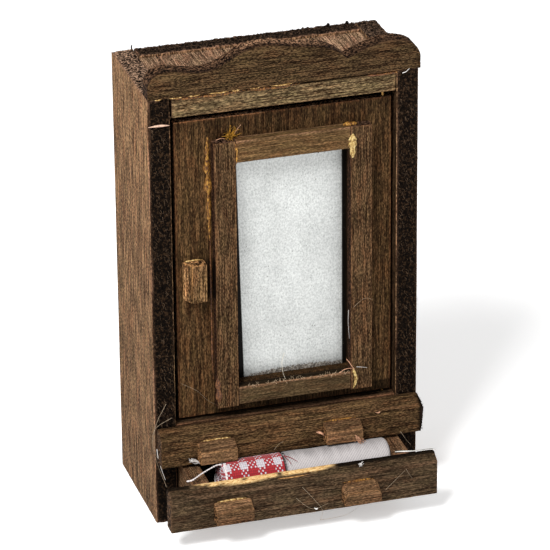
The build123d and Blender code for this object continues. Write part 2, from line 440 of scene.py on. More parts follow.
def gingham():
    """Red and white gingham: plain weave with equal bands of red and white thread both ways."""
    shader = Shader("gingham_cloth")
    counts, height = weave_parts(shader, THREAD, (-0.4, -1.4))
    over = shader.math("ADD", *[shader.math("FLOOR", count) for count in counts])
    over = shader.math("FLOORED_MODULO", over, 2.0)
    places = [shader.math("FLOORED_MODULO", count, 2.0 * CHECK_THREADS) for count in counts]
    warp, weft = [shader.math("LESS_THAN", place, RED_THREADS) for place in places]
    under = shader.math("SUBTRACT", 1.0, over)
    red = shader.math("ADD", shader.math("MULTIPLY", over, warp), shader.math("MULTIPLY", under, weft))
    low = shader.math("LESS_THAN", height, 0.36)
    beside = shader.math("MULTIPLY", shader.math("MAXIMUM", warp, weft), low)
    fuzz_noise = shader.noise((0.2, 0.2, 0.2), 3, 3.0, 0.6)
    reds = shader.ramp(fuzz_noise, (0.3, srgb(120, 6, 15)), (0.7, srgb(182, 17, 31)))
    whites = shader.ramp(fuzz_noise, (0.3, srgb(168, 160, 166)), (0.7, srgb(214, 206, 210)))
    colour = shader.mix(shader.math("MAXIMUM", red, beside), whites, reds)
    return shader.finish(
        # Darker in the hollows between threads: painted shade of the weave.
        Base_Color=shader.dim(colour, shader.spread(height, 0.0, 0.55, 0.68, 1.0)),
        Roughness=0.85,
        Sheen_Weight=0.25,
        Normal=shader.bump(height, 0.1, 0.8),
    )


def white_twill():
    """Plain white cotton twill with fine slanting ribs, with painted shade in the hollows of the weave and
    in streaks on the roll's far part.
    """
    shader = Shader("white_cloth")
    counts, height = weave_parts(shader, 0.3)
    slant = shader.math("MULTIPLY", shader.math("ADD", *counts), math.pi / 2)
    ribs = shader.math("ABSOLUTE", shader.math("SINE", slant))
    relief = shader.math("MULTIPLY_ADD", ribs, 0.8, shader.math("MULTIPLY", height, 0.3))
    nap = shader.math("MULTIPLY", shader.noise((0.3, 0.3, 0.3), 3, 8.0, 0.6), 0.5)
    level = shader.math("MULTIPLY_ADD", relief, 0.5, nap)
    # The rib tops are paler and the hollows darker: painted shade of the weave.
    colour = shader.ramp(level, (0.15, srgb(126, 121, 122)), (0.6, srgb(182, 176, 175)))
    # Painted shade, in slanting streaks, where the roll lies back under the drawer front above.
    streaks = shader.spread(shader.noise((1.2, 4, 4), 2, 17.0), 0.35, 0.65, 0.6, 1.3)
    shaded_streaks = shader.math("MULTIPLY", shader.attribute("painted_shade"), streaks)
    return shader.finish(
        Base_Color=shader.dim(colour, shader.math("SUBTRACT", 1.04, shaded_streaks)),
        Roughness=0.9,
        Sheen_Weight=0.1,
        Normal=shader.bump(relief, 0.05, 0.7),
    )


# Noise and meshes


def value_noise(places, seed):
    """Smooth random values from 0 to 1, whose lumps are one unit wide."""
    table = np.random.default_rng(seed).random(4096)
    cell = np.floor(places).astype(np.int64)
    part = places - cell
    part = part * part * (3 - 2 * part)
    total = np.zeros(len(places))
    for corner in np.ndindex(2, 2, 2):
        x, y, z = (cell + corner).T
        key = ((x * 73856093) ^ (y * 19349663) ^ (z * 83492791)) % len(table)
        total += np.prod(np.where(corner, part, 1 - part), axis=1) * table[key]
    return total


def rough(places, size, seed, layers=3):
    """Layered noise from 0 to 1; size is that of its widest lumps, in millimetres on each axis."""
    steps = places / (np.asarray(size, float) * MM)
    total, reach = 0, 0
    for layer in range(layers):
        weight = 0.5**layer
        total = total + weight * value_noise(steps * 2**layer + 19.7 * layer, seed + layer)
        reach += weight
    return total / reach


def shell(axes, solid=None):
    """The closed skin of a block of cells, as lattice points and four-sided faces.

    axes are three rising lists of lattice values, and solid says which cells are there.
    """
    filled = np.zeros([len(values) + 1 for values in axes], bool)
    filled[1:-1, 1:-1, 1:-1] = True if solid is None else solid
    counts = [len(values) for values in axes]
    strides = np.array([counts[1] * counts[2], counts[2], 1])
    faces = []
    for axis in range(3):
        second, third = (axis + 1) % 3, (axis + 2) % 3
        for ahead in (0, 1):
            bare = filled & ~np.roll(filled, 1 - 2 * ahead, axis=axis)
            cells = np.argwhere(bare) - 1
            cells[:, axis] += ahead
            ring = [(0, 0), (1, 0), (1, 1), (0, 1)][:: 1 if ahead else -1]
            corners = []
            for step_second, step_third in ring:
                corner = cells.copy()
                corner[:, second] += step_second
                corner[:, third] += step_third
                corners.append(corner @ strides)
            faces.append(np.stack(corners, axis=1))
    used, index = np.unique(np.concatenate(faces), return_inverse=True)
    lattice = np.unravel_index(used, counts)
    points = np.stack([np.asarray(axes[i])[lattice[i]] for i in range(3)], axis=1)
    return points, index.reshape(-1, 4)


def spaced(low, high, step, margin):
    """Values from low to high about a step apart, with closer ones in a margin at both ends."""
    if high - low < 3 * margin:
        return np.linspace(low, high, 5)
    near = np.array([0, 0.25, 0.6, 1]) * margin
    count = max(1, round((high - low - 2 * margin) / step))
    inside = np.linspace(low + margin, high - margin, count + 1)[1:-1]
    return np.concatenate([low + near, inside, (high - near)[::-1]])


def add_piece(name, points, faces, material, home, layers=None):
    """A mesh object with a home, its body and slot, of which the slot is not used; layers are named values
    for each point.
    """
    mesh = bpy.data.meshes.new(name)
    mesh.from_pydata(np.asarray(points).tolist(), [], [list(face) for face in faces])
    for layer, values in (layers or {}).items():
        values = np.asarray(values, np.float32)
        kind, field = ("FLOAT_VECTOR", "vector") if values.ndim == 2 else ("FLOAT", "value")
        made = mesh.attributes.new(layer, kind, "POINT")
        made.data.foreach_set(field, values.ravel())
    mesh.shade_smooth()
    mesh.materials.append(material)
    piece = bpy.data.objects.new(name, mesh)
    bpy.context.scene.collection.objects.link(piece)
    body, slot = home
    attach(piece, body)
    return piece


def stand_for(node, name, points, faces, material, layers=None):
    """A piece that is shown in place of a CAD node, on the same body."""
    home = (BODY_OF[node], SLOT_OF[node])
    piece = add_piece(name, points, faces.tolist(), material, home, layers)
    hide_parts(node)
    return piece


def rounded(points, low, high, radius):
    """Rounds the edges of a block's skin: its new points, and the way that each one faces."""
    inner = np.clip(points, low + radius, high - radius)
    outward = points - inner
    length = np.linalg.norm(outward, axis=1)[:, None]
    length[length == 0] = 1
    normal = outward / length
    return inner + normal * np.abs(outward).max(axis=1)[:, None], normal


def facing(normal, direction):
    """How squarely each place faces a direction such as "+z", or either way along an axis."""
    share = normal[:, AXES.index(direction[-1])]
    if len(direction) == 2:
        share = np.clip(share if direction[0] == "+" else -share, 0, None)
    return share**2


def along_x(places, values):
    """A function of points whose value follows their X, in millimetres."""
    return lambda points: np.interp(points[:, 0] / MM, places, values)


def worn_block(node, step, worn, seed, opening):
    """A block in a CAD node's box with unevenly worn edges: points, faces and facing ways.

    opening(x, y, z) says which cells are cut out.
    """
    low, high = (np.array(corner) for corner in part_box(node))
    margin = min(worn * MM, (high - low).min() / 4)
    steps = np.broadcast_to(step, 3) * MM
    axes = [spaced(low[i], high[i], steps[i], margin) for i in range(3)]
    solid = None
    if opening:
        centres = np.meshgrid(*[(a[1:] + a[:-1]) / 2 for a in axes], indexing="ij")
        solid = ~opening(*centres)
    points, faces = shell(axes, solid)
    radius = margin * (0.35 + 0.65 * rough(points, (1.6, 1.6, 1.6), seed, 2))[:, None]
    points, normal = rounded(points, low, high, radius)
    return points, faces, normal, low, high


def board(node, material, sawn, step=0.45, worn=0.35, pit=0.16, grain="z", seed=1,
          opening=None, bend=None, burr=None, raw=None, paler=None, wear=None, soot=None):
    """A piece of wood in place of a CAD node: worn edges, shallow grain ridges, pitted sawn faces.

    sawn gives how charred the sawn faces are, along an axis or in one direction such as "-x".
    opening(x, y, z) says which cells are cut out, and bend(points, low, high) reshapes the block.
    burr is how far, in millimetres, torn fibres stand out from each outward direction it names.
    Of the functions of points, raw says where it is bare wood, paler how much stain and painted
    light and shade lighten or darken it, wear how much the edges are rubbed, and soot how much of the
    charring a sawn face keeps.
    """
    points, faces, normal, low, high = worn_block(node, step, worn, seed, opening)
    cut = sum(facing(normal, direction) for direction in sawn)
    charred = sum(facing(normal, direction) * level for direction, level in sawn.items())
    ridges = rough(points, along(grain, 0.9, 16), seed + 5, 3)
    pits = rough(points, (0.9, 0.9, 0.9), seed + 9, 3)
    depth = 0.07 * ridges * (1 - cut) + pit * pits**1.5 * cut
    for direction, height in (burr or {}).items():
        peaks = np.clip(rough(points, (0.4, 0.4, 0.4), seed + 13, 2) - 0.45, 0, 1) * 2
        depth = depth - height * facing(normal, direction) * peaks
    points = points - normal * depth[:, None] * MM

    reach = np.sort(np.minimum(points - low, high - points), axis=1)[:, 1]
    layers = {
        "sawn": cut,
        "char": np.divide(charred, cut, out=np.zeros_like(cut), where=cut > 0.01),
        "edge": np.exp(-((np.clip(reach, 0, None) / (0.3 * MM)) ** 2)),
    }
    for layer, share in (("edge", wear), ("char", soot)):
        if share:
            layers[layer] *= share(points)
    for layer, value in (("raw", raw), ("paler", paler)):
        if value:
            layers[layer] = value(points)
    if bend:
        points = bend(points, low, high)
    return stand_for(node, f"{node}_wood", points, faces, material, layers)


def bevelled(depth, height, fade=None, ends=0.0):
    """A bend that slopes the top of a block down towards the front, over a depth and a height.

    fade(x) is the share of the bevel at each place along the block. ends is the radius to which
    the block's two upper corners are rounded.
    """

    def bend(points, low, high):
        points = points.copy()
        share = np.clip(1 - (points[:, 1] - low[1]) / (depth * MM), 0, 1)
        drop = height * MM * share
        if fade:
            drop *= fade(points[:, 0] / MM)
        if ends:
            radius = ends * MM
            near = np.minimum(points[:, 0] - low[0], high[0] - points[:, 0])
            inset = np.clip(radius - near, 0, radius)
            drop += radius - np.sqrt(radius**2 - inset**2)
        tall = high[2] - low[2]
        points[:, 2] = low[2] + (points[:, 2] - low[2]) * (tall - drop) / tall
        return points

    return bend


def smooth_path(points, steps=6):
    """Places on a smooth curve through a few points, given in millimetres."""
    knots = np.asarray(points, float) * MM
    padded = np.vstack([2 * knots[0] - knots[1], knots, 2 * knots[-1] - knots[-2]])
    share = np.linspace(0, 1, steps, endpoint=False)[:, None]
    path = []
    for before, start, end, after in zip(padded, padded[1:], padded[2:], padded[3:]):
        slope_in, slope_out = (end - before) / 2, (after - start) / 2
        path.append(
            start * (1 + 2 * share) * (1 - share) ** 2
            + slope_in * share * (1 - share) ** 2
            + end * share**2 * (3 - 2 * share)
            + slope_out * share**2 * (share - 1)
        )
    return np.vstack([*path, knots[-1:]])


def tube(path, radii, sides=6, flat=(1.0, 1.0)):
    """Points and faces of a closed bar along a path; flat squeezes its section across the path."""
    ahead = np.gradient(path, axis=0)
    ahead /= np.linalg.norm(ahead, axis=1)[:, None]
    guide = np.array((0, 0, 1.0)) if abs(ahead[0, 2]) < 0.8 else np.array((0, 1.0, 0))
    side = np.cross(ahead, guide)
    side /= np.linalg.norm(side, axis=1)[:, None]
    rise = np.cross(side, ahead)
    angles = np.arange(sides) * 2 * math.pi / sides
    rings = [
        path + (side * (math.cos(angle) * flat[0]) + rise * (math.sin(angle) * flat[1])) * radii[:, None]
        for angle in angles
    ]
    points = np.stack(rings, axis=1).reshape(-1, 3)
    faces = []
    for row in range(len(path) - 1):
        for column in range(sides):
            here, there = row * sides + column, row * sides + (column + 1) % sides
            faces.append((here, there, there + sides, here + sides))
    last = (len(path) - 1) * sides
    faces.append(tuple(range(sides))[::-1])
    faces.append(tuple(range(last, last + sides)))
    return points, faces


def tubes(name, paths, radii, material, home, sides=6, flat=(1.0, 1.0)):
    """One piece made of many closed bars, of a glue or a fibre."""
    points, faces, start = [], [], 0
    for path, radius in zip(paths, radii):
        some_points, some_faces = tube(path, radius, sides, flat)
        points.append(some_points)
        faces += [tuple(index + start for index in face) for face in some_faces]
        start += len(some_points)
    return add_piece(name, np.vstack(points), faces, glue_or_fibre(material), home)


def bead(name, material, home, radius, seed, *points, flat=(1.0, 1.0)):
    """A lumpy string of dried glue, thin at its ends."""
    path = smooth_path(points, 14)
    place = np.linspace(0, 1, len(path))
    lumps = rough(path, (1.4, 1.4, 1.4), seed, 3)
    ends = np.clip(4 * np.minimum(place, 1 - place), 0.1, 1) ** 0.7
    tubes(name, [path], [radius * MM * (0.1 + 1.8 * lumps) * ends], material, home, 10, flat)


def chip(name, material, home, radius, *points, flat=(1, 1)):
    """A sliver of wood, thick in the middle and pointed at its ends."""
    path = smooth_path(points, 6)
    wide = radius * MM * np.clip(np.sin(np.linspace(0.15, math.pi - 0.1, len(path))), 0.12, 1)
    tubes(name, [path], [wide], material, home, 6, flat)


def hair(points, radius):
    """A fine hair: its path and its radius at each place."""
    path = smooth_path(points, 8)
    return path, np.full(len(path), radius * MM) * np.linspace(1, 0.5, len(path))


def hairs(name, material, home, radius, *lines):
    """Fine hairs that follow lines of points."""
    paths, radii = zip(*[hair(line, radius) for line in lines])
    return tubes(name, paths, radii, material, home, 4)


def tuft(name, material, home, radius, root, tip, spread, count, seed):
    """A frayed end: fibres that fan out from a root past a tip, in millimetres."""
    chance = np.random.default_rng(seed)
    root, tip = np.array(root, float), np.array(tip, float)
    lines = []
    for _ in range(count):
        end = tip + chance.normal(0, spread, 3)
        bow = (root + end) / 2 + chance.normal(0, spread * 0.5, 3)
        lines.append([root + chance.normal(0, 0.08, 3), bow, end])
    hairs(name, material, home, radius, *lines)


def fuzz(name, material, home, seed, count, length, low, high, outward, radius=0.035, lie=(0, 0, 0)):
    """Short fibres that stand up from a flat patch between two corners, in millimetres.

    lie is the way that most of them lean.
    """
    chance = np.random.default_rng(seed)
    low, high, outward, lie = (np.array(corner, float) for corner in (low, high, outward, lie))
    paths, radii = [], []
    for _ in range(count):
        root = low + (high - low) * chance.random(3)
        lean = outward + lie + chance.normal(0, 0.9 - 0.25 * np.linalg.norm(lie), 3)
        tip = lean / np.linalg.norm(lean) * length * (0.4 + chance.random())
        if tip @ outward < 0:
            tip -= 2 * (tip @ outward) * outward
        sag = chance.normal(0, 0.25, 3) * length
        path, width = hair([root - outward * 0.1, root + tip / 2 + sag, root + tip], radius)
        paths.append(path[::4])
        radii.append(width[::4])
    tubes(name, paths, radii, material, home, 3)


# The wardrobe


def box_mm(node):
    """The lowest and highest corner of a CAD node, in millimetres."""
    return [np.array(corner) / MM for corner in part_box(node)]


def side_painted_light(points):
    """Painted light on the sides: paler towards the top where more light falls, and painted shade inside
    the door opening, behind the front edge.
    """
    x, y, z = (points / MM).T
    # Painted light: paler towards the top, darker towards the foot.
    height = np.interp(z, (0, 30, 70, 95, 95.1, 95.3), (-0.22, -0.1, 0.0, 0.24, 0.24, -0.03))
    # Painted shade on the inner face, inside the door opening.
    opening = np.interp(y, (-13.6, -9, -3), (-0.85, -0.7, 0))
    inside = (np.abs(x) < box_mm("side_right")[0][0] + 0.15) & (y > -13.7)
    return np.where(inside, np.minimum(height, opening), height)


def right_side_wear(points):
    """The right side's inner front edge is rubbed most."""
    x, y = points[:, 0] / MM, points[:, 1] / MM
    return np.where((x < 26) & (y < -13), 0.35, np.where(x > 26, 0.2, 0))


def make_sides():
    """Both sides and the back, of one coarse brown wood."""
    side = wood("side_wood", (105, 79, 56), "z", 1.15, (150, 112, 88), seed=1.0, broad=1.7)
    fine = (0.35, 0.4, 0.5)
    board("side_left", side, {"-y": 1.0, "+y": 0.7, "z": 0.1}, step=fine, seed=11, pit=0.45,
          burr={"+z": 0.3}, paler=side_painted_light,
          wear=lambda points: np.where(points[:, 0] < -26 * MM, 1.0, 0.0))
    board("side_right", side, {"-y": 1.0, "+y": 0.7, "z": 0.75}, step=fine, seed=12, pit=0.35,
          burr={"+z": 0.4}, paler=side_painted_light, wear=right_side_wear)
    board("back_panel", side, {"x": 0.9, "z": 0.9}, step=(0.3, 0.4, 0.9), seed=13, pit=0.4,
          burr={"+z": 0.5})


def cornice_bend(points, low, high):
    """Raises a straight block to the wavy outline of the CAD cornice."""
    rim = np.array([vertex.co for vertex in frame["nodes"]["cornice"].data.vertices])
    rim = rim[rim[:, 2] > low[2] + 0.5 * MM]
    rim = rim[np.argsort(rim[:, 0])]
    top = np.interp(points[:, 0], rim[:, 0], rim[:, 2])
    points = points.copy()
    points[:, 2] = low[2] + (points[:, 2] - low[2]) * (top - low[2]) / (high[2] - low[2])
    return points


def cornice_shade(points):
    """The cornice is darker towards its right end, and at the front rim of its wavy edge."""
    x, y, z = (points / MM).T
    rim = (z > box_mm("cornice")[1][2] - 0.3) & (y < -13.2)
    return np.where(rim, -0.55, np.interp(x, (0, 20), (0, -0.14)))


def cornice_soot(points):
    """The top of the middle curve is hardly charred behind its front rim."""
    x, y = points[:, 0] / MM, points[:, 1] / MM
    bare = np.interp(x, (-10, -7, 7, 10), (0, 1, 1, 0)) * np.interp(y, (-13.2, -12.4), (0, 1))
    return 1 - 0.8 * bare


def short_at_left(points, low, high):
    """Leaves a gap at the left end of the frieze."""
    points = points.copy()
    points[:, 0] += 0.45 * MM * (high[0] - points[:, 0]) / (high[0] - low[0])
    return points


def make_top():
    """The top panel, the cornice and the frieze, each of its own wood."""
    top = wood("top_panel_wood", (117, 91, 71), "y", 1.0, (176, 136, 112), seed=2.0)
    board("top_panel", top, {"x": 0.5}, grain="y", seed=14, wear=along_x((0, 1), (0, 0)),
          paler=along_x((-20, 20), (-0.12, 0.12)))
    cornice = wood("cornice_wood", (58, 43, 27), "x", 1.4, (122, 90, 64), (119, 90, 68), (24, 12, 5),
                   seed=3.0)
    board("cornice", cornice, {"z": 0.72, "x": 0.9}, step=0.35, grain="x", seed=15, bend=cornice_bend,
          burr={"+z": 0.4}, wear=along_x((14, 18, 26, 28), (0.15, 0.8, 0.8, 0)), paler=cornice_shade,
          soot=cornice_soot)
    frieze = wood("frieze_wood", (88, 72, 50), "x", 1.0, (120, 92, 66), seed=4.0)
    board("frieze_rail", frieze, {"x": 0.9}, step=0.4, grain="x", seed=16, bend=short_at_left)


def make_shelves():
    """The boards inside the carcass."""
    plain = wood("shelf_wood", (40, 29, 19), "x", 0.9, seed=5.0)
    for number, shelf in enumerate(("compartment_floor", "drawer_divider", "base_board")):
        board(shelf, plain, {"y": 0.97, "x": 0.6}, step=0.8, grain="x", seed=17 + number)


def door_window(x, y, z):
    """The opening in the door board that shows the mirror."""
    left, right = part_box("frame_stile_left")[1].x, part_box("frame_stile_right")[0].x
    bottom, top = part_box("frame_rail_bottom")[1].z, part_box("frame_rail_top")[0].z
    return (x > left) & (x < right) & (z > bottom) & (z < top)


def beside_knob(z, margin, darkest):
    """How dark the knob's painted shadow is at the levels of the knob; it fades out below them and, over a
    margin, above.
    """
    low, high = box_mm("door_knob")
    levels = (low[2] - 1, low[2] + 0.5, high[2] - margin, high[2] + margin)
    return np.interp(z, levels, (0, darkest, darkest, 0))


def door_painted_light(points):
    """Painted light and shade on the door: shade under the frieze, in the window's reveals and at the foot,
    the knob's shadow beside it, a highlight on the top edge, and a little paler at the left.
    """
    x, y, z = (points / MM).T
    left, right = box_mm("frame_stile_left"), box_mm("frame_stile_right")
    knob = box_mm("door_knob")[1]
    # Painted shade under the frieze, and a little paler at the left; stain here holds painted light and
    # shade.
    stain = np.interp(z, (84.5, 88.2, 89.05), (0, -0.3, -0.3)) + np.interp(x, (-16, -14), (0.06, 0))
    # A painted highlight on the worn top edge.
    stain = np.where((z > 89.1) & (x < -4), 0.8, stain)
    # Painted shade at the foot, below the lower rail.
    foot = np.interp(x, (-15.5, -15, 5, 18), (0, -0.5, -0.72, -0.72))
    stain = np.where(z < 25.2, np.minimum(stain, foot), stain)
    # The knob's shadow, painted beside it.
    by_knob = (x > knob[0] - 0.3) & (x < left[0][0] + 0.3) & (y < knob[1] + 0.3)
    stain = stain + np.where(by_knob, beside_knob(z, 0.3, -0.8), 0)
    # Painted shade in the window's reveals, less at the lower one.
    window = (x > left[1][0] - 0.3) & (x < right[0][0] + 0.3)
    window &= (z > box_mm("frame_rail_bottom")[1][2] - 0.3) & (z < box_mm("frame_rail_top")[0][2] + 0.3)
    return np.where(window, np.where(z < 31, -0.4, -0.85), stain)


def stile_painted_shadow(points):
    """The knob's shadow, painted on the left strip's side beside the knob."""
    x, z = points[:, 0] / MM, points[:, 2] / MM
    side = x < box_mm("frame_stile_left")[0][0] + 0.15
    return np.where(side, beside_knob(z, 0.5, -0.85), 0)


def worn_above(points):
    """Only the upper front edge of a rail is rubbed."""
    return np.where(points[:, 2] > points[:, 2].max() - 0.5 * MM, 0.9, 0.15)


def rail_shade(points):
    """The top of the lower rail is darker behind its front edge."""
    y, z = points[:, 1] / MM, points[:, 2] / MM
    top = box_mm("frame_rail_bottom")[1][2]
    return np.where((np.abs(z - top) < 0.15) & (y > -14.3), -0.8, 0)


def make_door():
    """Door board, frame strips, mirror, knob and hinge pins."""
    panel = wood("door_wood", (62, 44, 26), "z", 0.85, (112, 72, 46), seed=6.0)
    board("door_board", panel, {"x": 0.8, "z": 0.6}, seed=21, opening=door_window, paler=door_painted_light)
    stile = wood("stile_wood", (67, 49, 32), "z", 1.0, (116, 80, 54), char=(28, 14, 7), seed=7.0)
    for number, side in enumerate(("left", "right")):
        board(f"frame_stile_{side}", stile, {"x": 0.95, "z": 0.85}, step=0.35, worn=0.25, seed=22 + number,
              paler=stile_painted_shadow, wear=along_x((0, 1), (0.5, 0.5)))
    for number, (place, tone) in enumerate((("top", (88, 66, 42)), ("bottom", (69, 54, 36)))):
        rail = wood(f"rail_{place}_wood", tone, "x", 0.6, (150, 112, 86), seed=8.0 + number)
        board(f"frame_rail_{place}", rail, {"x": 0.8}, step=0.35, worn=0.25, grain="x", seed=24 + number,
              paler=rail_shade, wear=worn_above)
    make_mirror()
    make_knob()
    pin = brass()
    for node in ("hinge_pin_upper", "hinge_pin_lower"):
        frame["nodes"][node].data.materials.clear()
        frame["nodes"][node].data.materials.append(pin)


def make_mirror():
    """A thin plate with ground edges, silvered in front and painted behind."""
    low, high = (np.array(corner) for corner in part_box("mirror"))
    margin = 0.15 * MM
    points, faces = shell([spaced(low[i], high[i], 0.6 * MM, margin) for i in range(3)])
    points, _ = rounded(points, low, high, margin)
    x, z = points[:, 0] / MM, points[:, 2] / MM
    foot = box_mm("frame_rail_bottom")[1][2]
    left, right = box_mm("frame_stile_left")[1][0], box_mm("frame_stile_right")[0][0]
    reach = np.interp(x, (-9.2, -7.7, -3.2, 1.3, 5.8, 10.3, 14.8), (0, 0.2, 0.95, 1.2, 1.25, 0.95, 0.65))
    bare_left = left + np.interp(z, (30, 59, 80), (2.25, 1.55, 1.1)) - x
    layers = {
        "back": np.clip((points[:, 1] - low[1]) / (high[1] - low[1]) * 4 - 1, 0, 1),
        "dust": reach - (z - foot),
        # The bare left edge, and at the right a band of painted reflection of the frame strip's side.
        "rim": np.maximum(bare_left, x - right + 0.62),
    }
    stand_for("mirror", "mirror_plate", points, faces, mirror_glass(), layers)


def knob_streaks_and_highlight(points):
    """Strongly streaked bare wood on the knob's sloping side, painted paler overall there as a highlight,
    and faint streaks in front.
    """
    stripe = rough(points, (0.5, 0.5, 9), 77, 2)
    # The sloping side is painted paler overall, a painted highlight over its bare streaks.
    bare = np.interp(stripe, (0.36, 0.47, 0.58), (-0.5, 0.2, 2.7))
    faint = np.interp(stripe, (0.36, 0.5, 0.64), (-0.3, -0.05, 0.45))
    return np.where(points[:, 0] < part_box("door_knob")[0].x + 0.12 * MM, bare, faint)


def knob_wear(points):
    """The knob is hardly rubbed at its foot and at its right edge."""
    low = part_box("door_knob")[0]
    spared = (points[:, 0] > low.x + 3 * MM) | (points[:, 2] < low.z + MM)
    return np.where(spared, 0.15, 0.9)


def knob_slope(points, low, high):
    """Slopes the knob's left side in towards the front."""
    points = points.copy()
    inset = 1.5 * MM * (1 - (points[:, 1] - low[1]) / (high[1] - low[1]))
    wide = high[0] - low[0]
    points[:, 0] = high[0] - (high[0] - points[:, 0]) * (wide - inset) / wide
    return points


def make_knob():
    """The knob: a block with one sloping side, at its left."""
    amber = wood("knob_wood", (88, 65, 42), "z", 1.2, (196, 142, 88), (124, 90, 58), seed=9.5)
    board("door_knob", amber, {"z": 0.1}, step=0.25, worn=0.45, seed=31, bend=knob_slope,
          paler=knob_streaks_and_highlight, wear=knob_wear)


def make_drawers():
    """Fronts, box boards and handles of both drawers."""
    make_fronts()
    inner = wood("drawer_box_wood", (82, 61, 43), "y", 1.0, seed=13.0)
    grip = wood("handle_wood", (94, 69, 48), "x", 0.75, (122, 88, 58), (120, 86, 56), seed=14.0)
    # Painted light: how much paler or darker each drawer's handle tops and fronts are.
    grip_light_levels = ((-0.28, 0.26), (0.1, -0.26))
    for number, drawer in enumerate(("upper_drawer", "lower_drawer")):
        for place, part in enumerate(("side_left", "side_right", "back", "bottom")):
            sawn = {"x" if part == "back" else "y": 0.5}
            board(f"{drawer}_{part}", inner, sawn, step=0.7, grain="y", seed=50 + 4 * number + place)
        for side in ("left", "right"):
            handle = f"{drawer}_handle_{side}"
            blunt = 1.6 if handle == "lower_drawer_handle_right" else 0.3
            board(handle, grip, {"x": 0.3}, step=0.3, worn=0.4, grain="x",
                  seed=60 + 2 * number + (side == "left"), bend=bevelled(2.8, 1.5, ends=blunt),
                  paler=grip_painted_light(handle, *grip_light_levels[number]))


def make_fronts():
    """Both drawer fronts, with a bevel along the top."""
    upper = wood("upper_front_wood", (71, 52, 33), "x", 0.95, (108, 76, 52), (86, 64, 46), seed=10.0)
    # The right end is torn end grain; its full charring is partly painted shade on that end.
    board("upper_drawer_front", upper, {"-x": 0.4, "+x": 1.0}, step=0.4, grain="x", seed=41, worn=0.5,
          bend=bevelled(2.3, 1.5), burr={"+x": 0.6},
          wear=along_x((14, 21, 27.5, 28), (0.12, 0.7, 0.7, 0)),
          # Past x 28.2 the right end is painted dark as shade.
          paler=along_x((-28, -15, 5, 27.8, 28.2), (-0.09, 0, 0.04, -0.12, -0.9)))
    lower = wood("lower_front_wood", (62, 48, 34), "x", 0.8, (104, 80, 60), (86, 64, 46), seed=12.0)
    board("lower_drawer_front", lower, {"x": 0.35}, step=0.4, grain="x", seed=42, worn=0.5,
          bend=longer_at_left, raw=scar, paler=dark_rear_edge)


def longer_at_left(points, low, high):
    """Bevels the lower front, less at its left end, and draws that end out a little."""
    points = bevelled(2.3, 1.5, lambda x: np.clip((x + 27.5) / 5, 0.1, 1))(points, low, high)
    points[:, 0] -= 0.5 * MM * (high[0] - points[:, 0]) / (high[0] - low[0])
    return points


def grip_painted_light(node, above, in_front):
    """Painted light on a handle: how much paler its sloping top is, and its front, as light falls on each.
    """
    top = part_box(node)[1].z - 0.1 * MM
    return lambda points: np.where(points[:, 2] > top, above, in_front)


def dark_rear_edge(points):
    """The lower front's rear top edge is dark beside the split, and its ends a little."""
    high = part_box("lower_drawer_front")[1]
    x = points[:, 0] / MM
    edge = (points[:, 1] > high.y - 1.6 * MM) & (points[:, 2] > high.z - 0.8 * MM)
    ends = np.interp(x, (-28, -15, 5, 28), (-0.1, 0, 0, -0.07))
    return np.where(edge & ((x > 7.5) | (x < -24)), -0.85, ends)


def scar(points):
    """Where the rear top edge of the lower drawer front is split down to bare wood."""
    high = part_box("lower_drawer_front")[1]
    x = points[:, 0] / MM
    along_edge = np.clip((x + 23.5) / 1.5, 0, 1) * np.clip((7.5 - x) / 1.5, 0, 1)
    wide = np.interp(x, (-23.5, -19, -12, -4, 3, 7.5), (0.5, 1.6, 1.9, 1.5, 1.7, 1.0))
    behind = np.clip(((points[:, 1] - high.y) / MM + wide) / 0.25, 0, 1)
    near_top = np.clip((points[:, 2] - high.z + 0.9 * MM) / (0.3 * MM), 0, 1)
    torn = np.clip((rough(points, (2.5, 0.35, 0.35), 5, 2) - 0.24) * 9, 0, 1)
    return along_edge * behind * near_top * torn


# Cloth


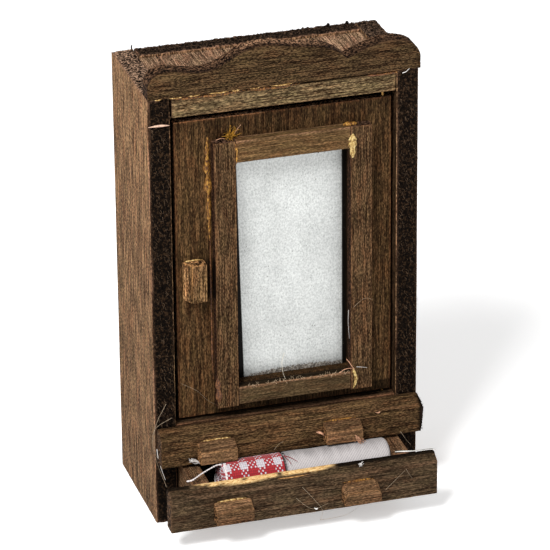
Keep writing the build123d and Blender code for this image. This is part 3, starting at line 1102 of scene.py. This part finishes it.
def roll(node, material, turn, slide, swell, trim, tie=None, taper=None):
    """A strip of cloth rolled up along X: a spiral sheet in place of a CAD cylinder.

    turn is where the outer end lies, in degrees, and slide how far the turns slip along the roll.
    swell is how much deeper and taller than the cylinder the loose cloth is, and trim how far its
    ends reach beyond the cylinder's. tie is where a thread pulls it in, and taper how far its
    right end closes in.
    """
    low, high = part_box(node)
    low.x -= trim[0] * MM
    high.x += trim[1] * MM
    radius = (high.z - low.z) / 2
    middle_y = (low.y + high.y) / 2
    thickness, step = CLOTH_THICKNESS * MM, CLOTH_STEP * MM
    pitch, core = ROLL_PITCH * MM, ROLL_CORE * MM
    outer = radius - thickness / 2
    length = math.pi * (outer**2 - core**2) / pitch
    across = np.linspace(low.x, high.x, round((high.x - low.x) / step))
    lengthways = np.linspace(0, length, round(length / step))
    points, faces = shell([across, lengthways, np.array((-0.5, 0.5)) * thickness])
    x, run, out = points.T
    nought = 0 * x
    flat = np.stack([x, run, nought], axis=1)
    distance = np.sqrt(core**2 + run * pitch / math.pi)
    angle = 2 * math.pi * (distance - outer) / pitch + math.radians(turn)
    bumps = rough(np.stack([x, np.cos(angle) * radius, np.sin(angle) * radius], axis=1), (4, 3, 3), 7, 2)
    squeeze = 1 - 0.07 * bumps
    if tie is not None:
        squeeze = squeeze - 0.1 * np.exp(-(((x / MM - tie) / 0.6) ** 2))
    if taper:
        squeeze = squeeze - 0.12 * np.clip((x - high.x) / (taper * MM) + 1, 0, 1) ** 3
    distance = distance * squeeze + out
    slip = slide * MM * (rough(np.stack([nought, run, nought], axis=1), (1, 12, 1), 3, 2) - 0.5)
    to_end = 2 * (x - low.x) / (high.x - low.x) - 1
    y = middle_y + distance * np.cos(angle) * swell[0]
    z = low.z + (radius + distance * np.sin(angle)) * swell[1]
    points = np.stack([x + slip * to_end * np.abs(to_end) ** 3, y, z], axis=1)
    # Painted shade on the part of the roll that lies back under the drawer front above it.
    painted_shade = np.interp((y - middle_y) / MM, (-3.4, -2.2, -0.5), (0, 0.16, 0.38))
    piece = stand_for(node, f"{node}_cloth", points, faces, material, {"cloth": flat, "painted_shade": painted_shade})
    squeeze_shut(piece)
    return piece, (high.x - low.x, length * (swell[0] + swell[1]) / 2)


def squeeze_shut(piece):
    """The cloth stands a little above the drawer; this gives the piece a mesh of its own."""
    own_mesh(piece)


def twisted(name, material, home, radius, *lines):
    """Sewing thread of two plies twisted round each other along each line of points."""
    plies, radii = [], []
    twist = 0.22 * MM  # the run for each radian
    for points in lines:
        path = smooth_path(points, 10)
        ahead = np.gradient(path, axis=0)
        ahead /= np.linalg.norm(ahead, axis=1)[:, None]
        side = np.cross(ahead, (0.3, 0.2, 0.93))
        side /= np.linalg.norm(side, axis=1)[:, None]
        rise = np.cross(ahead, side)
        run = np.concatenate([[0], np.cumsum(np.linalg.norm(np.diff(path, axis=0), axis=1))])
        for start in (0, math.pi):
            turn = (start + run / twist)[:, None]
            plies.append(path + (side * np.cos(turn) + rise * np.sin(turn)) * radius * 0.5 * MM)
            radii.append(np.full(len(path), radius * 0.55 * MM))
    return tubes(name, plies, radii, material, home, 6)


def tie_thread():
    """The thread: two turns round the gingham roll, and a loose end over the drawer's side."""
    low, high = box_mm("gingham_roll")
    snug = 0.94  # the thread pulls the roll in to this share of its radius
    radius = (high[2] - low[2]) / 2 * snug
    deep, tall = radius * ROLL_SWELL[0] * 1.04, radius * ROLL_SWELL[1] * 1.045
    middle_y, middle_z = (low[1] + high[1]) / 2, low[2] + tall / snug
    ring = []
    for step in range(50):
        angle = math.radians(100 + 15 * step)
        x = TIE_X + 0.6 * max(math.sin(angle), -0.3) + 0.007 * step
        ring.append((x, middle_y + deep * math.cos(angle), middle_z + tall * math.sin(angle)))
    side_top = box_mm("lower_drawer_side_left")[1][2]
    tail = [(TIE_X + 0.3, middle_y - 0.2, side_top + 1.25), (-17.4, middle_y - 0.4, side_top + 1.2),
            (-20.8, -22.4, side_top + 1.15), (-23.4, -24.55, side_top + 1.15),
            (-24.8, -24.75, side_top + 1.1)]
    thread = twisted("tie_thread_plies", "white_thread", ("lower_drawer", "white_thread"), 0.17, ring, tail)
    squeeze_shut(thread)
    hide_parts("tie_thread")
    return thread


def make_cloth():
    """The tied gingham roll, the plain white roll and the thread."""
    deep, tall = ROLL_SWELL
    red_roll, red_flat = roll("gingham_roll", gingham(), -60, 0.5, (deep * 1.04, tall * 1.1), (-1.2, -0.9),
                              tie=TIE_X + 0.2)
    white_roll, white_flat = roll("white_roll", white_twill(), -70, 0.6, (deep, tall * 1.06), (0.5, 0.2),
                                  taper=1.2)
    thread = tie_thread()


# Glue, fuzz, splinters and hairs


def glue_on_carcass():
    """Dried glue along the foot of the cornice, and dark beads under it that are partly a painted shadow
    line.
    """
    edge, joint = box_mm("cornice")[0][1:]
    front = box_mm("frieze_rail")[0][1] - 0.1
    # Dark glue beads under the cornice, partly a painted shadow line.
    for number, (start, end) in enumerate(((-23.6, -8.0), (-7.6, 3.4), (17.4, 25.0))):
        bead(f"cornice_glue_and_shadow_{number}", "dark_glue_and_shadow", CORNICE, 0.36, 170 + number,
             (start, front, joint - 0.35), ((start + end) / 2, front, joint - 0.5),
             (end, front, joint - 0.35))
    spans = ((-27.0, -25.6), (-24.0, -21.0), (-20.2, -17.6), (-15.8, -11.6), (-11.0, -9.4),
             (-7.2, -5.2), (-2.8, 1.6))
    for number, (start, end) in enumerate(spans):
        bead(f"cornice_glue_{number}", "pale_glue", CORNICE, 0.16, 70 + number,
             (start, edge, joint + 0.12), ((start + end) / 2, edge - 0.03, joint + 0.02),
             (end, edge, joint + 0.14))


def glue_on_door():
    """Dried glue round the frame strips."""
    face = box_mm("door_board")[0][1]
    (left, front, _), (right, _, _) = box_mm("frame_stile_left")
    bead("frame_glue_left", "dried_glue", DOOR, 0.58, 80,
         (left - 0.6, face, 85.4), (left - 0.75, face, 80.0), (left - 0.6, face, 75.0),
         (left - 0.5, face, 69.0), (left - 0.45, face, 62.4), flat=(1.1, 0.45))
    bead("frame_glue_left_low", "russet_glue", DOOR, 0.2, 180,
         (left - 0.35, face, 66.0), (left - 0.3, face, 52.0), (left - 0.25, face, 38.0),
         (left - 0.15, face, 30.5), flat=(1.0, 0.6))
    bead("frame_glue_left_foot", "russet_glue", DOOR, 0.6, 181,
         (left + 0.1, front + 0.1, 32.2), (left + 0.3, front + 0.05, 29.2),
         (left + 0.5, front + 0.1, 26.4), flat=(1.0, 0.4))
    bead("frame_glue_corner", "dried_glue", DOOR, 0.24, 81,
         (right - 0.1, front, 84.2), (right + 0.15, front - 0.05, 82.2), (right, front, 79.6))
    (left, front, _), (_, _, top) = box_mm("frame_stile_right")
    bead("frame_glue_right", "dried_glue", DOOR, 0.45, 82,
         (left - 1.3, face - 1.2, top + 0.1), (left + 0.3, face - 1.4, top + 0.2),
         (left + 1.9, face - 1.2, top + 0.1))
    bead("frame_glue_right_drip", "olive_glue", DOOR, 0.75, 83,
         (left + 0.5, front + 0.1, 83.2), (left + 0.4, front, 80.6), (left + 0.5, front + 0.1, 77.6),
         flat=(1.0, 0.35))
    bead("frame_glue_low_drip", "olive_glue", DOOR, 0.36, 84,
         (left + 0.5, front, 30.2), (left + 1.1, front - 0.05, 27.6), (left + 0.6, front, 25.4),
         flat=(1.0, 0.6))


def glue_on_grips():
    """Dried glue along the tops of the knob and the handles."""
    low, high = box_mm("door_knob")
    bead("knob_glue", "pale_glue", ("door", "grip_wood"), 0.36, 85,
         (low[0] + 0.6, high[1] - 0.3, high[2]), ((low[0] + high[0]) / 2, high[1] - 0.5, high[2] + 0.15),
         (high[0] - 0.3, high[1] - 0.4, high[2] + 0.03), flat=(1.0, 0.7))
    for drawer in ("upper_drawer", "lower_drawer"):
        for side, inset, finish, seed in (("left", 0.8, "pale_glue", 90), ("right", 0.2, "dried_glue", 91)):
            low, high = box_mm(f"{drawer}_handle_{side}")
            back, top = high[1] - 0.1, high[2]
            bead(f"{drawer}_glue_{side}", finish, (drawer, "grip_wood"), 0.17, seed,
                 (low[0] + inset, back, top - 0.03), ((low[0] + high[0]) / 2, back, top + 0.02),
                 (high[0] - 0.9, back, top - 0.03))


def fuzz_on_carcass():
    """Torn fibres on the sawn front edges and tops of the sides and on the back's top."""
    floor = box_mm("upper_drawer_front")[1][2] + 0.3
    for side in ("left", "right"):
        low, high = box_mm(f"side_{side}")
        face, top = low[1] + 0.12, high[2] - 0.15
        for tone, count, length in (("dark", 900, 0.5), ("pale", 330, 0.75)):
            fuzz(f"side_{side}_fuzz_{tone}", f"{tone}_fibre", CARCASS, 90 + count, count, length,
                 (low[0] + 0.2, face, floor), (high[0] - 0.2, face, high[2] - 0.5), (0, -1, 0),
                 lie=(0.4, 0, -1.7))
        fuzz(f"side_{side}_fuzz_top", "dark_fibre", CARCASS, 95, 160, 0.3,
             (low[0] + 0.3, low[1] + 4.5, top), (high[0] - 0.3, high[1] - 0.2, top), (0, 0, 1))
    low, high = box_mm("back_panel")
    top = high[2] - 0.1
    for tone, count, length in (("dark", 1500, 0.36), ("pale", 160, 0.3)):
        fuzz(f"back_fuzz_{tone}", f"{tone}_fibre", CARCASS, 96 + count, count, length,
             (low[0], low[1] + 0.2, top), (high[0], high[1] - 0.1, top), (0, 0, 1))


def fuzz_on_fronts():
    """Torn fibres and a dark crust on the upper front's right end, the crust partly painted shade, and
    fibres on the lower rail.
    """
    low, high = box_mm("upper_drawer_front")
    end = high[0] - 0.1
    fuzz("upper_drawer_fuzz_end", "dark_fibre", UPPER, 97, 420, 0.55,
         (end, low[1] + 0.4, low[2] + 0.4), (end, high[1] - 0.4, high[2] - 1.2), (1, 0, 0), 0.07)
    # A dark crust on the torn right end, partly painted shade.
    bead("upper_drawer_end_shaded_crust", "dark_fibre", UPPER, 0.42, 99,
         (high[0], low[1] + 0.5, high[2] - 1.5), (high[0] + 0.05, low[1] + 0.25, (low[2] + high[2]) / 2),
         (high[0], low[1] + 0.5, low[2] + 0.2), flat=(1.0, 0.8))
    low, high = box_mm("frame_rail_bottom")
    fuzz("frame_rail_fuzz", "rail_fibre", DOOR, 98, 70, 0.7,
         (low[0] + 0.5, low[1], high[2] - 0.1), (high[0] - 0.5, low[1] + 0.3, high[2]), (0, -0.5, 0.6))


def loose_on_door():
    """Hairs, a golden tuft, splinters and nicks on the door, and specks on the mirror."""
    hairs("door_hairs", "grey_hair", DOOR, 0.032,
          [(-22.2, -12.4, 31.0), (-18.9, -12.5, 28.9), (-16.4, -12.6, 26.2), (-14.0, -12.5, 24.6)],
          [(14.3, -14.85, 44.2), (16.6, -14.9, 45.9), (18.6, -14.85, 45.4)],
          [(-0.4, -12.6, 26.9), (3.0, -12.6, 24.6), (4.4, -12.6, 24.9)])
    tuft("door_corner_tuft", "golden_fibre", DOOR, 0.055, (-11.2, -12.6, 85.1), (-11.0, -13.4, 85.8),
         0.8, 70, 301)
    chip("door_corner_lump", "golden_fibre", DOOR, 0.36,
         (-12.0, -12.7, 85.5), (-10.9, -13.0, 85.5), (-9.9, -12.7, 85.1), flat=(1, 0.8))
    hairs("door_corner_hairs", "pale_splinter", DOOR, 0.07,
          [(-10.4, -12.7, 85.2), (-9.6, -13.0, 86.6), (-8.9, -13.1, 87.5)],
          [(-14.4, -14.0, 85.2), (-13.4, -14.1, 85.5), (-12.3, -13.6, 85.1)])
    hairs("door_window_splinters", "pale_splinter", DOOR, 0.08,
          [(11.3, -14.8, 29.5), (12.4, -14.9, 30.2), (14.0, -14.9, 30.2), (14.6, -14.85, 29.6)],
          [(13.2, -13.6, 31.9), (13.8, -14.6, 31.0), (14.5, -14.9, 30.0)],
          [(13.6, -13.9, 31.5), (13.9, -14.7, 30.8), (14.3, -14.9, 30.1)])
    hairs("door_window_threads", "stray_white", DOOR, 0.045,
          [(13.8, -13.2, 42.9), (13.6, -13.6, 40.2), (13.9, -13.5, 36.2)],
          [(15.0, -14.9, 30.4), (16.2, -15.0, 30.2), (17.3, -14.9, 29.9)])
    hairs("door_mirror_hair", "pale_hair", DOOR, 0.05,
          [(0.5, -11.0, 34.0), (-0.2, -11.6, 32.2), (-0.4, -13.0, 30.4), (-0.3, -14.4, 29.7)])
    left = box_mm("frame_stile_left")[1][0]
    nicks = ((78.2, 0.7), (71.1, 0.45), (66.0, 0.35), (57.2, 0.75), (52.2, 1.1))
    for number, (height, reach) in enumerate(nicks):
        chip(f"door_nick_{number}", "dark_splinter", DOOR, 0.1,
             (left - 0.1, -11.0, height + 0.1), (left + reach, -11.2, height - 0.1))
    specks = ((-8.9, 78.9), (-8.3, 78.5), (-5.6, 78.9), (-5.0, 78.7), (9.6, 78.6))
    for number, (x, height) in enumerate(specks):
        chip(f"mirror_speck_{number}", "dark_splinter", DOOR, 0.12,
             (x, -10.7, height), (x + 0.35, -10.7, height + 0.1))


def loose_on_carcass():
    """Chips, bumps and a curl on the carcass, and the cracks in its top."""
    chip("side_chip", "pale_chip", CARCASS, 0.24,
         (-28.45, -14.1, 89.85), (-26.0, -14.2, 89.95), (-23.95, -14.1, 89.75))
    chip("back_splinter", "dark_splinter", CARCASS, 0.16,
         (-24.2, 13.6, 95.3), (-24.25, 13.6, 96.0), (-24.1, 13.5, 96.7))
    for number, x in enumerate((17.9, 22.0)):
        chip(f"back_bump_{number}", "dark_splinter", CARCASS, 0.3,
             (x - 0.3, 13.3, 95.3), (x, 13.4, 95.9), (x + 0.4, 13.3, 95.4))
    top = box_mm("top_panel")[1][2]
    cracks = (((-20.1, 9.6), (-19.9, 8.0), (-20.0, 6.4)), ((-10.3, 9.6), (-10.5, 8.6), (-10.3, 7.6)),
              ((-6.1, 9.6), (-6.3, 8.2), (-6.0, 6.9)), ((-1.5, 9.4), (-1.4, 8.4), (-1.2, 7.0)),
              ((13.0, 9.6), (13.1, 8.4), (12.8, 7.2)), ((20.5, 9.6), (20.6, 7.4), (20.3, 4.4)))
    hairs("top_cracks", "dark_splinter", ("carcass", "top_wood"), 0.11,
          *[[(x, y, top) for x, y in crack] for crack in cracks])
    hairs("frieze_chip", "russet_chip", CORNICE, 0.14,
          [(17.8, -14.15, 95.15), (20.0, -14.2, 95.0), (21.8, -14.15, 95.05)])
    hairs("cornice_curl", "stray_white", CORNICE, 0.09,
          [(24.9, -14.4, 94.95), (25.6, -14.5, 95.2), (26.4, -14.4, 95.8)])


def loose_on_upper_drawer():
    """Hairs, threads, splinters and frayed ends on the upper drawer."""
    hairs("upper_drawer_hairs", "grey_hair", UPPER, 0.055,
          [(-24.8, -14.25, 24.4), (-28.3, -14.6, 22.8), (-29.3, -15.2, 20.6), (-29.2, -15.2, 18.3),
           (-28.3, -14.8, 14.6), (-26.9, -14.7, 10.2), (-26.3, -14.7, 8.7)],
          [(-26.0, -14.3, 27.8), (-27.9, -14.5, 24.4), (-28.75, -14.9, 22.1), (-28.8, -15.1, 17.5),
           (-27.6, -14.6, 14.6), (-27.0, -14.6, 11.4), (-26.4, -14.6, 8.5)])
    hairs("upper_drawer_thread", "stray_white", UPPER, 0.08,
          [(-28.3, -14.8, 17.9), (-28.1, -14.8, 16.0), (-27.5, -14.7, 13.4), (-26.6, -14.7, 10.4)])
    tuft("upper_drawer_frayed_end", "stray_white", UPPER, 0.09, (-19.9, -17.75, 14.9),
         (-22.0, -17.9, 15.9), 0.35, 14, 303)
    hairs("upper_drawer_front_hairs", "grey_hair", UPPER, 0.05,
          [(23.8, -17.6, 15.2), (25.0, -17.7, 13.2), (26.2, -17.6, 11.6)],
          [(-3.9, -17.6, 15.2), (-3.0, -17.7, 16.4), (-1.8, -17.6, 16.9)])
    grip = ("upper_drawer", "grip_wood")
    chip("handle_splinter", "pale_splinter", grip, 0.5,
         (5.1, -18.2, 18.3), (6.1, -18.5, 18.1), (7.1, -18.3, 17.0), flat=(1, 0.5))
    tuft("handle_torn_end", "pale_splinter", grip, 0.07, (12.9, -19.9, 17.4), (14.4, -20.0, 15.4),
         0.55, 22, 304)
    chip("upper_drawer_fleck", "pale_splinter", UPPER, 0.2,
         (18.3, -17.5, 20.5), (18.9, -17.7, 20.45), (19.4, -17.5, 20.6), flat=(1, 0.6))


def loose_on_lower_drawer():
    """Hairs, fluff and a speck on the lower drawer's front."""
    hairs("lower_drawer_hairs", "grey_hair", LOWER, 0.045,
          [(-2.3, -27.85, 8.9), (0.0, -27.9, 6.6), (1.8, -27.95, 5.8), (4.8, -27.9, 6.6)],
          [(-0.9, -27.85, 11.2), (1.6, -27.95, 8.0), (3.4, -27.9, 5.1), (2.9, -27.9, 2.8)],
          [(2.9, -27.8, 2.9), (6.0, -27.95, 3.0), (8.8, -27.85, 3.3), (11.2, -27.9, 4.6)],
          [(17.1, -27.8, 7.6), (19.4, -27.95, 9.8), (21.4, -27.9, 11.6)],
          [(21.6, -27.8, 11.9), (22.1, -27.95, 10.9), (23.0, -27.85, 9.4)])
    chip("lower_drawer_speck", "stray_white", LOWER, 0.22,
         (1.6, -27.75, 5.9), (2.1, -27.9, 5.7), (2.5, -27.75, 5.8), flat=(1, 0.7))
    tuft("lower_drawer_fluff", "stray_white", LOWER, 0.045, (12.2, -26.0, 13.5), (12.3, -26.3, 13.6),
         0.3, 34, 305)


def loose_in_lower_drawer():
    """Threads over the drawer's right end, the front's torn edge, and red threads off the gingham."""
    for tone, material, back in (("white", "stray_white", 0.0), ("dusky", "dusky_thread", 0.25)):
        bundle = [
            [(20.6 + i * 0.4, -23.6 + back, 13.9), (23.3, -24.45 + back * 0.5, 13.95 + i * 0.05),
             (25.6, -24.9 + back, 14.05), (28.4 - i * 0.3, -25.0 + back, 14.0),
             (29.2, -25.4 + i * 0.2, 13.7)]
            for i in range(4)
        ]
        hairs(f"lower_drawer_bundle_{tone}", material, LOWER, 0.065, *bundle)
    chip("lower_drawer_torn_edge", "orange_splinter", LOWER, 0.24,
         (-5.8, -26.3, 13.15), (-2.2, -26.4, 13.1), (1.6, -26.2, 13.12), flat=(1, 0.5))
    stray = hairs("gingham_stray_thread", "red_thread", ("lower_drawer", "gingham_cloth"), 0.09,
                  [(-2.6, -20.6, 15.2), (-1.4, -21.6, 15.0), (-0.4, -22.8, 14.6)],
                  [(-2.8, -20.9, 15.3), (-2.2, -22.3, 15.0), (-1.9, -23.3, 14.4)])
    squeeze_shut(stray)


make_camera()
make_studio()
make_sides()
make_top()
make_shelves()
make_door()
make_drawers()
make_cloth()
glue_on_carcass()
glue_on_door()
glue_on_grips()
fuzz_on_carcass()
fuzz_on_fronts()
loose_on_door()
loose_on_carcass()
loose_on_upper_drawer()
loose_on_lower_drawer()
loose_in_lower_drawer()
